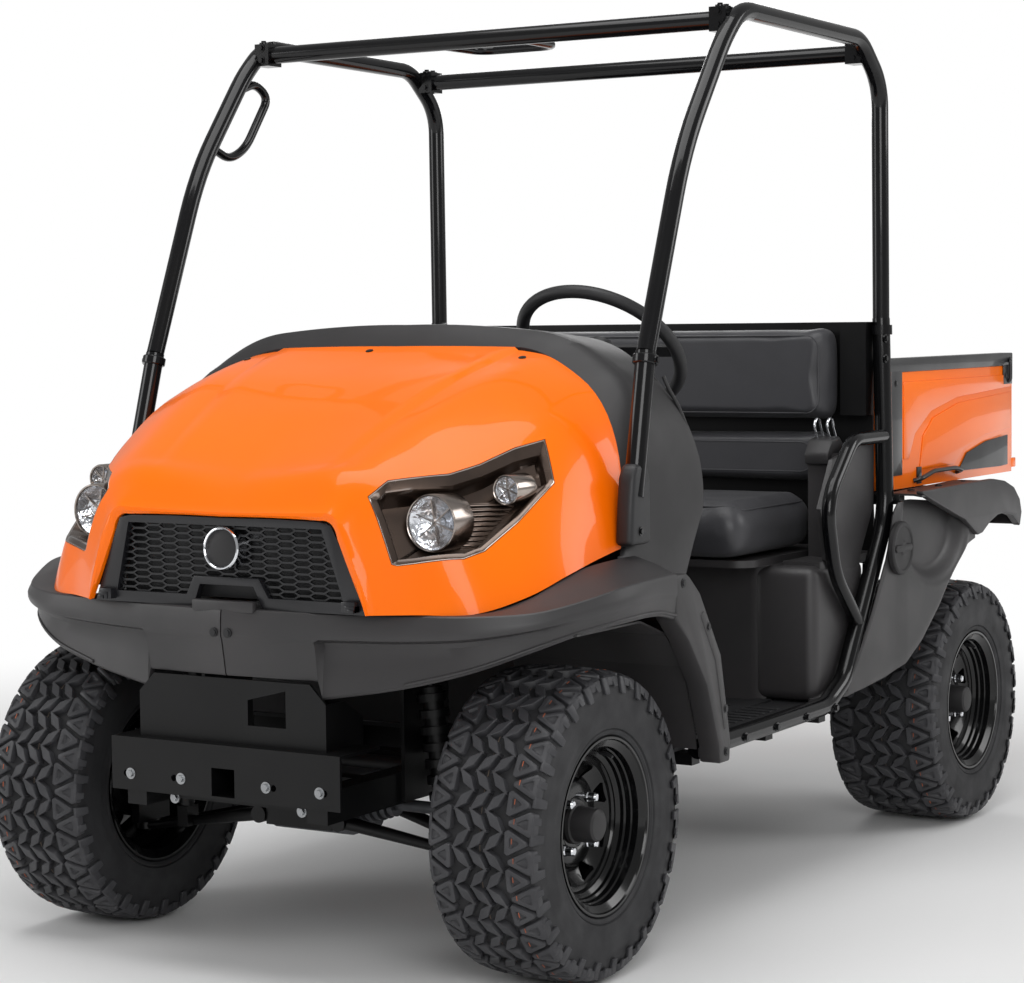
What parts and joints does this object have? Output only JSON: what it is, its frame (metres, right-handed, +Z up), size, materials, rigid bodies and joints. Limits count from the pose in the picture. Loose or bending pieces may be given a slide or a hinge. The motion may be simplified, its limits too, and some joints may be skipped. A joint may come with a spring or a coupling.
{
  "type": "compact utility side by side vehicle",
  "caption": "Two seat utility side by side with open tubular roll frame, bench seat, steered front wheels, moulded hood and fenders, and a tilting dump bed with a drop tailgate.",
  "frame": {"origin": "on the ground under the centre of the plan box", "axes": "+Z up, -Y forward, +X to the vehicle left"},
  "size_m": [1.39, 2.65, 1.8852],
  "materials": {
    "body_orange": "gloss orange",
    "bed_orange": "gloss orange paint",
    "bed_black": "satin black paint",
    "frame_black": "gloss black powder coat",
    "chassis_black": "satin black paint",
    "moulded_charcoal": "satin grained",
    "seat_vinyl": "grained vinyl",
    "tyre_rubber": "black rubber",
    "rim_black": "gloss black paint",
    "drive_metal": "painted casting",
    "soft_black": "moulded rubber",
    "grille_black": "satin",
    "badge_metal": "satin chrome",
    "lamp_bezel": "metallic bronze",
    "lamp_lens": "clear",
    "tail_red": "red lens"
  },
  "bodies": {
    "vehicle": {"bed_supports": "chassis_black", "cab_controls": "chassis_black", "cowl": "moulded_charcoal", "dash_panel": "moulded_charcoal", "engine_block": "drive_metal", "filler_cover": "moulded_charcoal", "floor_pan": "soft_black", "frame_cross_members": "chassis_black", "frame_rails": "chassis_black", "front_drive": "drive_metal", "front_fenders": "moulded_charcoal", "front_implement_plate": "chassis_black", "front_post_stubs": "frame_black", "front_shocks": "chassis_black", "front_suspension_arms": "chassis_black", "grille_frame": "grille_black", "grille_mesh": "grille_black", "grille_roundel": "badge_metal", "headlamp_bezels": "lamp_bezel", "headlamp_lenses": "lamp_lens", "hip_guards": "frame_black", "hood": "body_orange", "muffler": "drive_metal", "passenger_grab_handle": "frame_black", "rear_axle": "drive_metal", "rear_flares": "moulded_charcoal", "rear_hitch": "chassis_black", "rear_quarter_panels": "moulded_charcoal", "rear_springs": "chassis_black", "roll_hoops": "frame_black", "roof_bars": "frame_black", "roof_grab_loop": "frame_black", "seat_back_lower": "seat_vinyl", "seat_back_screen": "chassis_black", "seat_back_upper": "seat_vinyl", "seat_base": "moulded_charcoal", "seat_cushion": "seat_vinyl", "seat_side_panels": "moulded_charcoal", "shock_towers": "chassis_black", "side_tubes": "frame_black", "steering_column": "moulded_charcoal", "steering_rack_housing": "soft_black", "tail_lamps": "tail_red", "wheel_arch_liners": "moulded_charcoal"},
    "front_knuckle_left": {"front_knuckle_left": "chassis_black"},
    "front_knuckle_right": {"front_knuckle_right": "chassis_black"},
    "front_wheel_left": {"front_tyre_left": "tyre_rubber", "front_rim_left": "rim_black"},
    "front_wheel_right": {"front_tyre_right": "tyre_rubber", "front_rim_right": "rim_black"},
    "rear_wheel_left": {"rear_tyre_left": "tyre_rubber", "rear_rim_left": "rim_black"},
    "rear_wheel_right": {"rear_tyre_right": "tyre_rubber", "rear_rim_right": "rim_black"},
    "steering_rack": {"steering_rack_and_tie_rods": "drive_metal"},
    "steering_wheel": {"steering_wheel": "soft_black"},
    "dump_bed": {"bed_tub": "bed_black", "bed_skins": "bed_orange", "bed_rail": "bed_black"},
    "tailgate": {"tailgate": "bed_orange"}
  },
  "joints": [
    {"name": "steer_left", "type": "hinge", "parent": "vehicle", "child": "front_knuckle_left", "pos_m": [0.47, -0.981, 0.295], "axis": [0, 0, 1], "range_deg": [-28, 28]},
    {"name": "steer_right", "type": "hinge", "parent": "vehicle", "child": "front_knuckle_right", "pos_m": [-0.47, -0.981, 0.295], "axis": [0, 0, 1], "range_deg": [-28, 28]},
    {"name": "rack_slide", "type": "slide", "parent": "vehicle", "child": "steering_rack", "axis": [1, 0, 0], "range_m": [-0.0433, 0.0433]},
    {"name": "steering_wheel_turn", "type": "hinge", "parent": "vehicle", "child": "steering_wheel", "pos_m": [0.301, -0.392, 1.176], "axis": [0, 0.6845, 0.729], "range_deg": [-280, 280]},
    {"name": "front_wheel_left_spin", "type": "hinge", "parent": "front_knuckle_left", "child": "front_wheel_left", "pos_m": [0.527, -0.981, 0.295], "axis": [1, 0, 0], "continuous": true},
    {"name": "front_wheel_right_spin", "type": "hinge", "parent": "front_knuckle_right", "child": "front_wheel_right", "pos_m": [-0.527, -0.981, 0.295], "axis": [1, 0, 0], "continuous": true},
    {"name": "rear_wheel_left_spin", "type": "hinge", "parent": "vehicle", "child": "rear_wheel_left", "pos_m": [0.529, 0.829, 0.295], "axis": [1, 0, 0], "continuous": true},
    {"name": "rear_wheel_right_spin", "type": "hinge", "parent": "vehicle", "child": "rear_wheel_right", "pos_m": [-0.529, 0.829, 0.295], "axis": [1, 0, 0], "continuous": true},
    {"name": "bed_dump", "type": "hinge", "parent": "vehicle", "child": "dump_bed", "pos_m": [0, 1.159, 0.808], "axis": [-1, 0, 0], "range_deg": [0, 45]},
    {"name": "tailgate_drop", "type": "hinge", "parent": "dump_bed", "child": "tailgate", "pos_m": [0, 1.263, 0.854], "axis": [-1, 0, 0], "range_deg": [0, 90]}
  ],
  "couplings": [
    {"joint": "steer_right", "follows": "steer_left", "ratio": 1},
    {"joint": "rack_slide", "follows": "steer_left", "m_per_rad": -0.0884},
    {"joint": "steering_wheel_turn", "follows": "steer_left", "ratio": 10}
  ]
}
